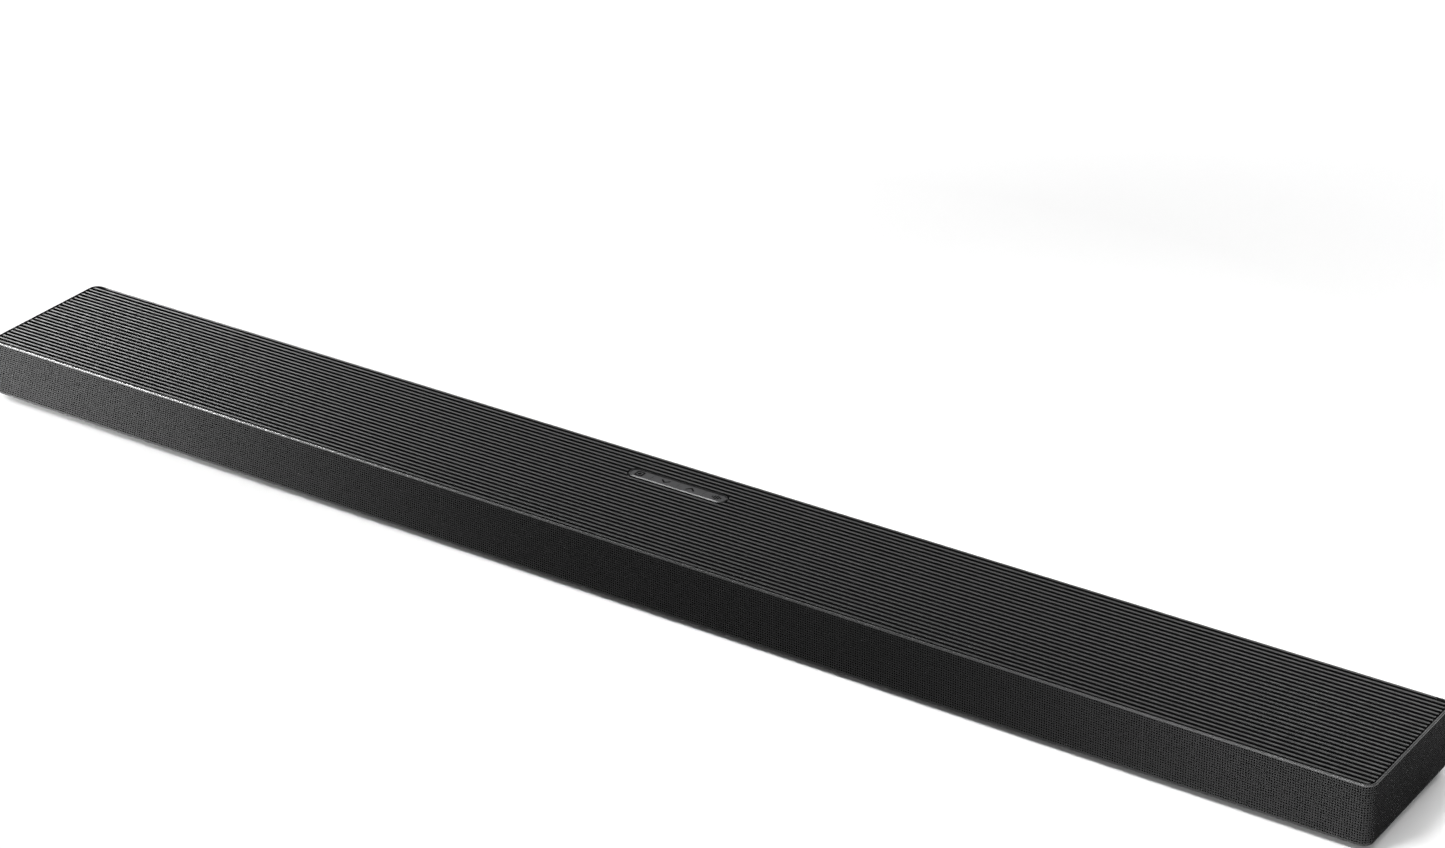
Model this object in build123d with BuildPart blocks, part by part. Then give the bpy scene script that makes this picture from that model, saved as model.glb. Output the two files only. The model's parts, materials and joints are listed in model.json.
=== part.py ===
from build123d import *
import os

# Slim television soundbar, in millimetres. Every named piece is its own solid.
# Origin: centre of the footprint, at the bottom of the rubber feet.
# +X runs along the bar, the perforated front faces -Y, +Z is up.

# ---- overall size ----
LENGTH = 1160.0
DEPTH = 119.0
HEIGHT = 50.5
CORNER_R = 7.5  # vertical corners, in plan

# ---- levels, from the surface it stands on ----
FOOT_H = 3.0
GRILLE_BOTTOM = 6.0
FLOOR_T = 2.0
DECK_BOTTOM = 46.2
GROOVE_FLOOR = 48.0
RIB_TOP = 50.2
REAR_SEAM_Z = 47.5

# ---- ribbed top ----
RIB_COUNT = 26
RIB_PITCH = 4.4
RIB_W = 1.9
RIB_EDGE_R = 0.3
FIRST_RIB_Y = -DEPTH / 2 + 3.9
RIB_INSET = 2.4  # rib ends stop this far inside the outline
LEDGE_INSET = 1.9  # a ledge runs round the deck behind the grille, out to its inner face
LEDGE_TOP = 49.4
REAR_LIP_W = 2.3
REAR_LIP_EDGE_R = 0.8
REAR_GAP_FLOOR = 49.0
NECK_W = 3.0  # joins the rear lip to the deck

# ---- grille, cloth and baffle: nested skins, measured inwards from the outline ----
GRILLE_T = 0.8
GRILLE_LIP_W = 1.2
GRILLE_LIP_H = 0.8
REAR_RETURN = 12.0  # the grille turns the rear corners and ends this far in
CLOTH_INSET = 1.1
CLOTH_T = 0.4
BAFFLE_INSET = 1.9
BAFFLE_T = 2.4
SKIN_CLEAR = 0.3

# ---- chassis ----
PLINTH_INSET = 12.0
WALL = 2.0
CROSS_RIB_XS = [-525.0, -290.0, -215.0, 215.0, 290.0, 525.0]

# ---- screws: eight from below into the top cover, eight from behind into the chassis ----
SCREW_R = 1.5
SCREW_HOLE_R = 1.7
SCREW_HEAD_R = 3.0
CROSS_RECESS = (3.2, 0.7)
RECESS_DEPTH = 1.0
BOSS_R = 4.0
BOSS_PILOT_DEPTH = 14.0
BOSS_SPOTS = [(sx * x, sy * 40.0) for sx in (-1, 1) for sy in (-1, 1) for x in (230.0, 550.0)]
CABINET_SCREW_HEAD_H = 1.8
CABINET_SCREW_L = 12.0
REAR_SCREW_XS = [-520.0, -320.0, -118.0, -99.0, 99.0, 118.0, 320.0, 520.0]
REAR_SCREW_Z = 14.0
REAR_SCREW_SEAT = 0.8  # depth of the round seat that sinks each head
REAR_SCREW_HEAD_H = 0.7
REAR_SCREW_L = 9.0
REAR_BLOCK = (12.0, 10.0, 12.0)
REAR_PILOT_DEPTH = 8.0

# ---- rear panels: one on each side of the connector bay's face plate ----
REAR_PANEL_T = 2.4
VENT_XS = range(132, 193, 6)
VENT_Z = 30.0
VENT_SIZE = (16.0, 2.4)

# ---- wall bracket inserts, M4 tapping size ----
BRACKET_SPACING = 900.0
BRACKET_Y = 30.0
BRACKET_BORE_R = 1.65
BRACKET_OUTER_R = 3.5
BRACKET_L = 9.0
BRACKET_BOSS_R = 6.0

# ---- feet ----
FOOT_X = 480.0
FOOT_Y = 34.0
FOOT_SIZE = (60.0, 14.0)
FOOT_CORNER_R = 5.0
FOOT_EDGE = 0.6
REAR_FOOT_SHIFT = 80.0  # rear feet stand this far nearer the middle

# ---- control pill: takes the place of three ribs ----
PILL_L = 83.0
PILL_W = 11.3
PILL_RIB = 20  # index of the rib on its centre line
PILL_Y = FIRST_RIB_Y + PILL_RIB * RIB_PITCH
PILL_GAP = 1.2
BEZEL_W = 0.8
BEZEL_BEVEL = 0.6
KEY_CLEAR = 0.3
KEY_SEAM = 0.15  # between neighbouring keys
KEY_EDGE_R = 0.1
KEY_TOP = 50.1
KEY_FLANGE_T = 0.9
KEY_FLANGE_OUT = 0.8
KEY_TRAVEL = 0.4
KEY_PITCH = 22.3
KEY_NAMES = ["key_source", "key_volume_down", "key_volume_up", "key_voice"]
KEY_BOARD_Z = 40.0
KEY_BOARD_MARGIN = (8.0, 4.0)  # beyond the pill, both sides together
KEY_MAT_MARGIN = (4.0, 2.0)
KEY_MAT_T = 0.8
BOARD_T = 1.2
SWITCH_SIZE = 6.0
SWITCH_H = 1.6
SWITCH_PLUNGER_R = 1.6
SWITCH_PLUNGER_H = 0.4
SWITCH_CLEAR = 0.4
DOME_SIZE = (9.0, 8.0)
DOME_R = 1.5
RIBBON_W = 12.0
RIBBON_T = 0.4
RIBBON_X = -30.0
RIBBON_Y = 28.0
MAT_TOP = DECK_BOTTOM - SKIN_CLEAR - KEY_FLANGE_T - KEY_TRAVEL - SKIN_CLEAR

# ---- connector bay at the rear ----
FACE_PLATE_L = 212.0
BAY_CORNER_R = 3.0
BAY_L = 180.0
BAY_BOTTOM = 11.0
BAY_TOP = 35.0
BAY_DEPTH = 24.0
BAY_WALL = 1.8
BAY_BACK_Y = DEPTH / 2 - REAR_PANEL_T - BAY_DEPTH
SOCKET_Y = BAY_BACK_Y + 0.6  # socket mouths stand this far into the bay
BOARD_TOP = 20.0
HDMI_X = -48.0
OPTICAL_X = -18.0
USB_X = 12.0
MAINS_X = 72.0
# windows in the bay's back wall: middle x, middle height above the boards, width, height
BAY_WINDOWS = [
    (HDMI_X, 3.0, 15.8, 6.6),
    (OPTICAL_X, 4.8, 10.6, 10.2),
    (USB_X, 3.4, 14.2, 7.4),
    (MAINS_X, 6.5, 24.6, 13.6),
]

# ---- boards on moulded posts: (low x, low y), (high x, high y) ----
BOARD_BOTTOM = BOARD_TOP - 1.6
BOARD_FRONT_Y = -14.0
BOARD_REAR_Y = BAY_BACK_Y - BAY_WALL - 1.0
BOARDS = {
    "main_board": ((-80.0, BOARD_FRONT_Y), (42.0, BOARD_REAR_Y)),
    "power_board": ((46.0, BOARD_FRONT_Y), (180.0, BOARD_REAR_Y)),
    "amplifier_board": ((-200.0, BOARD_FRONT_Y), (-96.0, BOARD_REAR_Y)),
}
POST_R = 2.5
POST_INSET = 5.0
POST_PILOT_R = 0.9
BOARD_HOLE_R = 1.3
BOARD_SCREW_HEAD = (2.2, 1.4)
BOARD_SCREW_L = 7.0
BLOCK_R = 1.0
# blocks that stand on each board: x, y, length, depth, height
BOARD_PARTS = {
    "main_board": [
        (-62.0, 0.0, 14.0, 18.0, 2.4),
        (-40.0, 0.0, 16.0, 16.0, 1.6),
        (-15.0, -5.0, 10.0, 8.0, 1.2),
        (20.0, 5.0, 12.0, 8.0, 1.4),
    ],
    "power_board": [(80.0, 0.0, 30.0, 24.0, 18.0), (125.0, -6.0, 14.0, 14.0, 16.0), (158.0, 4.0, 22.0, 16.0, 12.0)],
    "amplifier_board": [(-120.0, 10.0, 10.0, 10.0, 8.0), (-180.0, 10.0, 10.0, 10.0, 8.0)],
}
SINK_X = -150.0
SINK_Y = 5.0
SINK_SIZE = (40.0, 34.0)
SINK_BASE_T = 3.0
SINK_FIN = (1.2, 14.0)
SINK_FIN_PITCH = 4.0
SINK_FIN_COUNT = 10
SINK_PAD = 10.0
SINK_PAD_H = 2.0
SINK_PAD_SPACING = 18.0

# ---- remote receiver on the baffle ----
RECEIVER_X = 130.0
RECEIVER_BOARD = (30.0, 22.0)
RECEIVER_BOARD_T = 1.2
RECEIVER_GAP = 0.2
RECEIVER_LENS = (8.0, 7.0)
RECEIVER_LENS_T = 4.0

# ---- sockets: outer width and height, cavity or tongue, depth ----
SHELL_WALL = 0.4
SHELL_DEPTH = 12.0
TONGUE_BACK = 1.5  # the contact tongue starts this far behind the mouth
HDMI_SIZE = (15.0, 5.6)
HDMI_TONGUE = (10.8, 1.0)
HDMI_TONGUE_Z = 0.5
USB_SIZE = (13.4, 6.4)
USB_TONGUE = (11.0, 1.6)
USB_TONGUE_Z = 1.4
OPTICAL_SIZE = (9.8, 9.4)
OPTICAL_DEPTH = 13.0
OPTICAL_CAVITY = 6.4
OPTICAL_CAVITY_DEPTH = 8.0
INLET_SIZE = (23.8, 12.8)
INLET_DEPTH = 20.0
INLET_CAVITY = (17.0, 9.0)
INLET_CAVITY_DEPTH = 14.0
INLET_PIN_X = 4.3
INLET_PIN_R = 1.2

# ---- drivers: a racetrack woofer and a round full-range unit share one layout ----
DRIVER_Z = 27.0
FLANGE_H = 35.0
WOOFER = {"length": 110.0, "width": 31.0, "motor_r": 15.0}
SIDE_DRIVER = {"length": 32.0, "width": 31.0, "motor_r": 13.0}
WOOFER_XS = {"left": -410.0, "centre": 0.0, "right": 410.0}
SURROUND_W = 5.5
CONE_CLEAR = 0.4
CONE_T = 0.6
CONE_FRONT = 1.8  # depth of the cone's rim behind the mouth
CONE_DEEP = 8.0  # depth of its narrow end
NECK_EXTRA = 0.5  # the narrow end stands this far outside the coil
BASKET_H = 12.0
BASKET_OUT = 0.8  # the basket's wall stands this far outside the mouth
BASKET_IN = 0.4
BASKET_PLATE_T = 1.2
FLANGE_TAB = 8.0  # screw tab at each end of the flange
FLANGE_R = 3.0
VENT_FROM = 3.0
VENT_DEEP = 5.5
SURROUND_FRONT = 1.4
SURROUND_EDGE = 0.6
ROLL_INSET = 1.6
ROLL_DEEP = 1.6
ROLL_RIM = 0.8
MOTOR_H = 12.0
MOTOR_PLATE_T = 3.0
MOTOR_PLATE_INSET = 1.0
COIL_DEEP = 4.0  # how far the coil former reaches into the motor
COIL_R = 6.6
COIL_T = 0.5
POLE_R = 5.4
GAP_R = 7.6
TWEETER_X = 520.0
TWEETER_R = 11.0
TWEETER_PLATE = 32.0
TWEETER_PLATE_T = 1.6
TWEETER_BODY_L = 9.0
TWEETER_WALL = 1.0
TWEETER_DOME_R = 5.0
TWEETER_DISH = 3.0

# ---- enclosures ----
BOX_FRONT_Y = -DEPTH / 2 + BAFFLE_INSET + BAFFLE_T
BOX_BOTTOM = GRILLE_BOTTOM + FLOOR_T
BOX_TOP = DECK_BOTTOM
SIDE_BOX = {"x": 410.0, "length": 170.0, "depth": 70.0}
CENTRE_BOX = {"x": 0.0, "length": 170.0, "depth": 34.0}
BOX_SKIN = 1.2  # floor and lid
BOX_CLEAR = 0.2  # to the chassis below and the deck above

# ---- speaker cables: from under the amplifier board to each side enclosure's inner wall ----
CABLE_R = 1.6
CABLE_Z = 11.0
CABLE_BEND = 5.0
SIDE_BOX_INNER_X = SIDE_BOX["x"] - SIDE_BOX["length"] / 2
CABLE_ROUTES = [
    [(-176.0, 0.0), (-286.0, 0.0), (-304.0, -32.0), (-SIDE_BOX_INNER_X, -32.0)],
    [(-120.0, 0.0), (-120.0, -17.6), (286.0, -17.6), (304.0, -32.0), (SIDE_BOX_INNER_X, -32.0)],
]

os.makedirs("parts", exist_ok=True)


def save(part, name):
    """Label one finished piece and write it to its own file."""
    part.label = name
    export_step(part, f"parts/{name}.step")


def outline(inset, mode=Mode.ADD):
    """The bar's plan outline, drawn smaller by an inset, in the open sketch."""
    radius = max(CORNER_R - inset, 0.6)
    RectangleRounded(LENGTH - 2 * inset, DEPTH - 2 * inset, radius, mode=mode)


def rear_opening():
    """Take the rear face out of a wrapped skin, between its two returns."""
    with Locations((0, DEPTH / 2)):
        Rectangle(LENGTH - 2 * REAR_RETURN, 2 * CORNER_R, mode=Mode.SUBTRACT)


def rear_panel_zone():
    """Cut the open sketch back to the inner face of the rear panel."""
    with Locations((0, DEPTH / 2)):
        Rectangle(LENGTH - 2 * REAR_RETURN, 2 * REAR_PANEL_T, mode=Mode.SUBTRACT)


def facing(x, y, z, inwards):
    """A plane at a driver's mouth whose normal points into the cabinet."""
    return Plane(origin=(x, y, z), x_dir=(0, 1, 0) if inwards[0] else (1, 0, 0), z_dir=inwards)


# =====================================================================================
# Cabinet
# =====================================================================================

rib_ys = [FIRST_RIB_Y + RIB_PITCH * k for k in range(RIB_COUNT)]
rib_height = RIB_TOP - DECK_BOTTOM

with BuildPart() as top_cover:
    # ribs: one rounded section each, run the full length, then cut to the plan outline
    with BuildSketch(Plane.YZ) as rib_section:
        with Locations(*[(y, DECK_BOTTOM + rib_height / 2) for y in rib_ys]):
            Rectangle(RIB_W, rib_height)
        fillet(rib_section.vertices().group_by(Axis.Y)[-1], radius=RIB_EDGE_R)
    extrude(amount=LENGTH / 2, both=True)
    with BuildSketch(Plane.XY.offset(DECK_BOTTOM)):
        outline(RIB_INSET)
    extrude(amount=rib_height, mode=Mode.INTERSECT)
    # deck under the ribs
    with BuildSketch(Plane.XY.offset(DECK_BOTTOM)):
        outline(GRILLE_T + SKIN_CLEAR)
        rear_panel_zone()
    extrude(amount=GROOVE_FLOOR - DECK_BOTTOM)
    # ledge that backs the grille's first holes
    with BuildSketch(Plane.XY.offset(GROOVE_FLOOR)):
        outline(GRILLE_T + SKIN_CLEAR)
        outline(LEDGE_INSET, Mode.SUBTRACT)
        rear_opening()
    extrude(amount=LEDGE_TOP - GROOVE_FLOOR)
    # rear lip: closes the top of the rear face between the grille's returns
    lip_length = LENGTH - 2 * REAR_RETURN - 2 * SKIN_CLEAR
    with BuildSketch(Plane.XY.offset(REAR_SEAM_Z)):
        with Locations((0, DEPTH / 2 - REAR_LIP_W / 2)):
            Rectangle(lip_length, REAR_LIP_W)
    extrude(amount=HEIGHT - REAR_SEAM_Z)
    rear_top = top_cover.edges().filter_by(Axis.X).group_by(Axis.Y)[-1].sort_by(Axis.Z)[-1]
    fillet(rear_top, radius=REAR_LIP_EDGE_R)
    # neck behind the last rib: joins the lip to the deck and is the floor of a shallow gap
    with BuildSketch(Plane.XY.offset(REAR_SEAM_Z)):
        with Locations((0, DEPTH / 2 - REAR_LIP_W - NECK_W / 2 + SKIN_CLEAR)):
            Rectangle(lip_length, NECK_W)
    extrude(amount=REAR_GAP_FLOOR - REAR_SEAM_Z)
    # pocket for the control pill, then the opening that its keys drop through
    with BuildSketch(Plane.XY.offset(GROOVE_FLOOR)):
        with Locations((0, PILL_Y)):
            SlotOverall(PILL_L + 2 * PILL_GAP, PILL_W + 2 * PILL_GAP)
    extrude(amount=rib_height, mode=Mode.SUBTRACT)
    with BuildSketch(Plane.XY.offset(DECK_BOTTOM)):
        with Locations((0, PILL_Y)):
            SlotOverall(PILL_L - 2 * BEZEL_W, PILL_W - 2 * BEZEL_W)
    extrude(amount=rib_height, mode=Mode.SUBTRACT)
    # screw bosses down to the chassis floor, each with a blind pilot hole
    with BuildSketch(Plane.XY.offset(DECK_BOTTOM)):
        with Locations(*BOSS_SPOTS):
            Circle(BOSS_R)
    extrude(amount=FOOT_H + FLOOR_T - DECK_BOTTOM)
    with BuildSketch(Plane.XY.offset(FOOT_H + FLOOR_T)):
        with Locations(*BOSS_SPOTS):
            Circle(SCREW_R)
    extrude(amount=BOSS_PILOT_DEPTH, mode=Mode.SUBTRACT)
save(top_cover.part, "top_cover")

with BuildPart() as grille:
    with BuildSketch(Plane.XY.offset(GRILLE_BOTTOM)):
        outline(0)
        outline(GRILLE_T, Mode.SUBTRACT)
        rear_opening()
    extrude(amount=HEIGHT - GRILLE_BOTTOM)
    # folded lip round the top edge
    with BuildSketch(Plane.XY.offset(HEIGHT - GRILLE_LIP_H)):
        outline(0)
        outline(GRILLE_LIP_W, Mode.SUBTRACT)
        rear_opening()
    extrude(amount=GRILLE_LIP_H)
save(grille.part, "grille")


def board_corners(low, high):
    """Screw positions near the four corners of a board."""
    xs = (low[0] + POST_INSET, high[0] - POST_INSET)
    ys = (low[1] + POST_INSET, high[1] - POST_INSET)
    return [(x, y) for x in xs for y in ys]


all_corners = [spot for low, high in BOARDS.values() for spot in board_corners(low, high)]


def wrapped_skin(inset, thickness, bottom, top):
    """A skin that follows the front, the ends and the rear corners."""
    with BuildPart() as skin:
        with BuildSketch(Plane.XY.offset(bottom)):
            outline(inset)
            outline(inset + thickness, Mode.SUBTRACT)
            rear_opening()
        extrude(amount=top - bottom)
    return skin.part


save(wrapped_skin(CLOTH_INSET, CLOTH_T, BOX_BOTTOM, DECK_BOTTOM), "acoustic_cloth")

with BuildPart() as speaker_baffle:
    add(wrapped_skin(BAFFLE_INSET, BAFFLE_T, BOX_BOTTOM, DECK_BOTTOM))
    # woofer and tweeter windows
    with BuildSketch(facing(0, BOX_FRONT_Y, DRIVER_Z, (0, 1, 0))):
        with Locations(*[(x, 0) for x in WOOFER_XS.values()]):
            SlotOverall(WOOFER["length"], WOOFER["width"])
        with Locations((-TWEETER_X, 0), (TWEETER_X, 0)):
            Circle(TWEETER_R)
    extrude(amount=-2 * BAFFLE_T, mode=Mode.SUBTRACT)
    # one window in each end
    with BuildSketch(Plane.YZ):
        with Locations((0, DRIVER_Z)):
            SlotOverall(SIDE_DRIVER["length"], SIDE_DRIVER["width"])
    extrude(amount=LENGTH / 2, both=True, mode=Mode.SUBTRACT)
save(speaker_baffle.part, "speaker_baffle")

with BuildPart() as chassis:
    # outer ledge, flush with the grille's bottom edge
    with BuildSketch(Plane.XY.offset(GRILLE_BOTTOM)):
        outline(GRILLE_T + SKIN_CLEAR)
        rear_panel_zone()
    extrude(amount=FLOOR_T)
    # recessed plinth: a shallow tub that carries the feet
    with BuildSketch(Plane.XY.offset(FOOT_H)):
        outline(PLINTH_INSET)
    extrude(amount=BOX_BOTTOM - FOOT_H)
    with BuildSketch(Plane.XY.offset(FOOT_H + FLOOR_T)):
        outline(PLINTH_INSET + WALL)
    extrude(amount=BOX_BOTTOM - FOOT_H, mode=Mode.SUBTRACT)
    # stiffening ribs across the tub
    with BuildSketch(Plane.XY.offset(FOOT_H + FLOOR_T)):
        with Locations(*[(x, 0) for x in CROSS_RIB_XS]):
            Rectangle(WALL, DEPTH - 2 * PLINTH_INSET - WALL)
    extrude(amount=BOX_BOTTOM - FOOT_H - FLOOR_T)
    # bosses that hold the wall bracket inserts
    with BuildSketch(Plane.XY.offset(FOOT_H)):
        with GridLocations(BRACKET_SPACING, 0, 2, 1):
            with Locations((0, BRACKET_Y)):
                Circle(BRACKET_BOSS_R)
    extrude(amount=BRACKET_L + WALL)
    with BuildSketch(Plane.XY.offset(FOOT_H)):
        with GridLocations(BRACKET_SPACING, 0, 2, 1):
            with Locations((0, BRACKET_Y)):
                Circle(BRACKET_OUTER_R)
    extrude(amount=BRACKET_L, mode=Mode.SUBTRACT)
    # posts under the corners of each board, with blind pilot holes
    with BuildSketch(Plane.XY.offset(FOOT_H + FLOOR_T)):
        with Locations(*all_corners):
            Circle(POST_R)
    extrude(amount=BOARD_BOTTOM - FOOT_H - FLOOR_T)
    with BuildSketch(Plane.XY.offset(FOOT_H + FLOOR_T + 2.0)):
        with Locations(*all_corners):
            Circle(POST_PILOT_R)
    extrude(amount=BOARD_BOTTOM - FOOT_H - FLOOR_T, mode=Mode.SUBTRACT)
    # blocks that take the rear screws
    with BuildSketch(Plane.XY.offset(BOX_BOTTOM)):
        with Locations(*[(x, DEPTH / 2 - REAR_PANEL_T - REAR_BLOCK[1] / 2) for x in REAR_SCREW_XS]):
            Rectangle(REAR_BLOCK[0], REAR_BLOCK[1])
    extrude(amount=REAR_BLOCK[2])
    with BuildSketch(Plane.XZ.offset(REAR_PANEL_T - DEPTH / 2)):
        with Locations(*[(x, REAR_SCREW_Z) for x in REAR_SCREW_XS]):
            Circle(SCREW_R)
    extrude(amount=REAR_PILOT_DEPTH, mode=Mode.SUBTRACT)
    # clearance holes for the cabinet screws
    with BuildSketch(Plane.XY):
        with Locations(*BOSS_SPOTS):
            Circle(SCREW_HOLE_R)
    extrude(amount=FOOT_H + FLOOR_T, mode=Mode.SUBTRACT)
save(chassis.part, "chassis")


def rear_screw_holes(low, high):
    """Room for the rear screws between two x positions: a clearance hole and a round seat for each head."""
    spots = [(x, REAR_SCREW_Z) for x in REAR_SCREW_XS if low < x < high]
    with BuildPart() as holes:
        with BuildSketch(Plane.XZ.offset(-DEPTH / 2)):
            with Locations(*spots):
                Circle(SCREW_HOLE_R)
        extrude(amount=REAR_PANEL_T)
        with BuildSketch(Plane.XZ.offset(-DEPTH / 2)):
            with Locations(*spots):
                Circle(SCREW_HEAD_R + SKIN_CLEAR)
        extrude(amount=REAR_SCREW_SEAT)
    return holes.part


def rear_panel(sx):
    """The moulded panel between the face plate and one of the grille's rear returns."""
    inner = FACE_PLATE_L / 2 + SKIN_CLEAR
    outer = LENGTH / 2 - REAR_RETURN - SKIN_CLEAR
    low, high = sorted((sx * inner, sx * outer))
    with BuildPart() as panel:
        with BuildSketch(Plane.XZ.offset(-DEPTH / 2)):
            with Locations(((low + high) / 2, (GRILLE_BOTTOM + REAR_SEAM_Z) / 2)):
                Rectangle(high - low, REAR_SEAM_Z - GRILLE_BOTTOM)
            # ventilation slots beside the power and amplifier boards
            with Locations(*[(sx * x, VENT_Z) for x in VENT_XS]):
                SlotOverall(*VENT_SIZE, rotation=90, mode=Mode.SUBTRACT)
        extrude(amount=REAR_PANEL_T)
        add(rear_screw_holes(low, high), mode=Mode.SUBTRACT)
    return panel.part


save(rear_panel(-1), "rear_panel_left")
save(rear_panel(1), "rear_panel_right")

with BuildPart() as connector_bay:
    bay_mid = (BAY_BOTTOM + BAY_TOP) / 2
    bay_height = BAY_TOP - BAY_BOTTOM
    # face plate, flush with the rear panels
    with BuildSketch(Plane.XZ.offset(-DEPTH / 2)):
        with Locations((0, (GRILLE_BOTTOM + REAR_SEAM_Z) / 2)):
            Rectangle(FACE_PLATE_L, REAR_SEAM_Z - GRILLE_BOTTOM)
    extrude(amount=REAR_PANEL_T)
    # box behind it
    with BuildSketch(Plane.XZ.offset(REAR_PANEL_T - DEPTH / 2)):
        with Locations((0, bay_mid)):
            RectangleRounded(BAY_L + 2 * BAY_WALL, bay_height + 2 * BAY_WALL, BAY_CORNER_R + BAY_WALL)
    extrude(amount=BAY_DEPTH + BAY_WALL)
    with BuildSketch(Plane.XZ.offset(-DEPTH / 2)):
        with Locations((0, bay_mid)):
            RectangleRounded(BAY_L, bay_height, BAY_CORNER_R)
    extrude(amount=REAR_PANEL_T + BAY_DEPTH, mode=Mode.SUBTRACT)
    # windows for the sockets, which all stand on boards at one level
    with BuildSketch(Plane.XZ.offset(-BAY_BACK_Y)):
        for x, rise, width, height in BAY_WINDOWS:
            with Locations((x, BOARD_TOP + rise)):
                Rectangle(width, height)
    extrude(amount=BAY_WALL, mode=Mode.SUBTRACT)
    add(rear_screw_holes(-FACE_PLATE_L / 2, FACE_PLATE_L / 2), mode=Mode.SUBTRACT)
save(connector_bay.part, "connector_bay")

foot_spots = {
    "foot_front_left": (-FOOT_X, -FOOT_Y),
    "foot_front_right": (FOOT_X, -FOOT_Y),
    "foot_rear_left": (-FOOT_X + REAR_FOOT_SHIFT, FOOT_Y),
    "foot_rear_right": (FOOT_X - REAR_FOOT_SHIFT, FOOT_Y),
}
for name, (x, y) in foot_spots.items():
    with BuildPart() as foot:
        with BuildSketch(Plane((x, y, 0))):
            RectangleRounded(*FOOT_SIZE, FOOT_CORNER_R)
        extrude(amount=FOOT_H)
        chamfer(foot.edges().group_by(Axis.Z)[0], length=FOOT_EDGE)
    save(foot.part, name)

with BuildPart() as mount_inserts:
    with BuildSketch(Plane.XY.offset(FOOT_H)):
        with GridLocations(BRACKET_SPACING, 0, 2, 1):
            with Locations((0, BRACKET_Y)):
                Circle(BRACKET_OUTER_R)
                Circle(BRACKET_BORE_R, mode=Mode.SUBTRACT)
    extrude(amount=BRACKET_L)
save(mount_inserts.part, "mount_inserts")


def cross_recess():
    """The two bars of a cross recess, in the open sketch at the current locations."""
    Rectangle(*CROSS_RECESS)
    Rectangle(*CROSS_RECESS, rotation=90)


with BuildPart() as cabinet_screws:
    head_bottom = FOOT_H - CABINET_SCREW_HEAD_H
    with BuildSketch(Plane.XY.offset(head_bottom)):
        with Locations(*BOSS_SPOTS):
            Circle(SCREW_HEAD_R)
    extrude(amount=CABINET_SCREW_HEAD_H)
    with BuildSketch(Plane.XY.offset(FOOT_H)):
        with Locations(*BOSS_SPOTS):
            Circle(SCREW_R)
    extrude(amount=CABINET_SCREW_L)
    with BuildSketch(Plane.XY.offset(head_bottom)):
        with Locations(*BOSS_SPOTS):
            cross_recess()
    extrude(amount=RECESS_DEPTH, mode=Mode.SUBTRACT)
save(cabinet_screws.part, "cabinet_screws")

with BuildPart() as rear_screws:
    rear_spots = [(x, REAR_SCREW_Z) for x in REAR_SCREW_XS]
    seat = Plane.XZ.offset(REAR_SCREW_SEAT - DEPTH / 2)
    head_face = Plane.XZ.offset(REAR_SCREW_SEAT - REAR_SCREW_HEAD_H - DEPTH / 2)
    with BuildSketch(head_face):
        with Locations(*rear_spots):
            Circle(SCREW_HEAD_R)
    extrude(amount=REAR_SCREW_HEAD_H)
    with BuildSketch(seat):
        with Locations(*rear_spots):
            Circle(SCREW_R)
    extrude(amount=REAR_SCREW_L)
    with BuildSketch(head_face):
        with Locations(*rear_spots):
            cross_recess()
    extrude(amount=RECESS_DEPTH, mode=Mode.SUBTRACT)
save(rear_screws.part, "rear_screws")

# =====================================================================================
# Control pill
# =====================================================================================

with BuildPart() as button_bezel:
    with BuildSketch(Plane.XY.offset(GROOVE_FLOOR)):
        with Locations((0, PILL_Y)):
            SlotOverall(PILL_L, PILL_W)
            SlotOverall(PILL_L - 2 * BEZEL_W, PILL_W - 2 * BEZEL_W, mode=Mode.SUBTRACT)
    extrude(amount=HEIGHT - GROOVE_FLOOR)
    # a bevel runs round the outer edge
    rim_edges = button_bezel.faces().sort_by(Axis.Z)[-1].outer_wire().edges()
    chamfer(rim_edges, length=BEZEL_BEVEL)
save(button_bezel.part, "button_bezel")


def key(index):
    """One of four keys: a cap cut from the pill, on a wider flange that keeps it in the deck."""
    middle = (index - 1.5) * KEY_PITCH
    cap_l = PILL_L - 2 * BEZEL_W - 2 * KEY_CLEAR
    cap_w = PILL_W - 2 * BEZEL_W - 2 * KEY_CLEAR
    # end keys reach out to the round ends, middle keys are one pitch wide
    low = -cap_l if index == 0 else middle - KEY_PITCH / 2 + KEY_SEAM / 2
    high = cap_l if index == 3 else middle + KEY_PITCH / 2 - KEY_SEAM / 2
    flange_top = DECK_BOTTOM - SKIN_CLEAR
    with BuildPart() as piece:
        with BuildSketch(Plane.XY.offset(flange_top)):
            with Locations((0, PILL_Y)):
                SlotOverall(cap_l, cap_w)
            with Locations(((low + high) / 2, PILL_Y)):
                Rectangle(high - low, 2 * PILL_W, mode=Mode.INTERSECT)
        extrude(amount=KEY_TOP - flange_top)
        fillet(piece.edges().group_by(Axis.Z)[-1], radius=KEY_EDGE_R)
        with BuildSketch(Plane.XY.offset(flange_top)):
            with Locations((0, PILL_Y)):
                SlotOverall(cap_l + 2 * KEY_FLANGE_OUT + 2 * KEY_CLEAR, cap_w + 2 * KEY_FLANGE_OUT + 2 * KEY_CLEAR)
            with Locations(((low + high) / 2, PILL_Y)):
                Rectangle(high - low, 2 * PILL_W, mode=Mode.INTERSECT)
        extrude(amount=-KEY_FLANGE_T)
    return piece.part


for index, name in enumerate(KEY_NAMES):
    save(key(index), name)

key_spots = [((k - 1.5) * KEY_PITCH, PILL_Y) for k in range(len(KEY_NAMES))]
key_board_top = KEY_BOARD_Z + BOARD_T

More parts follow.
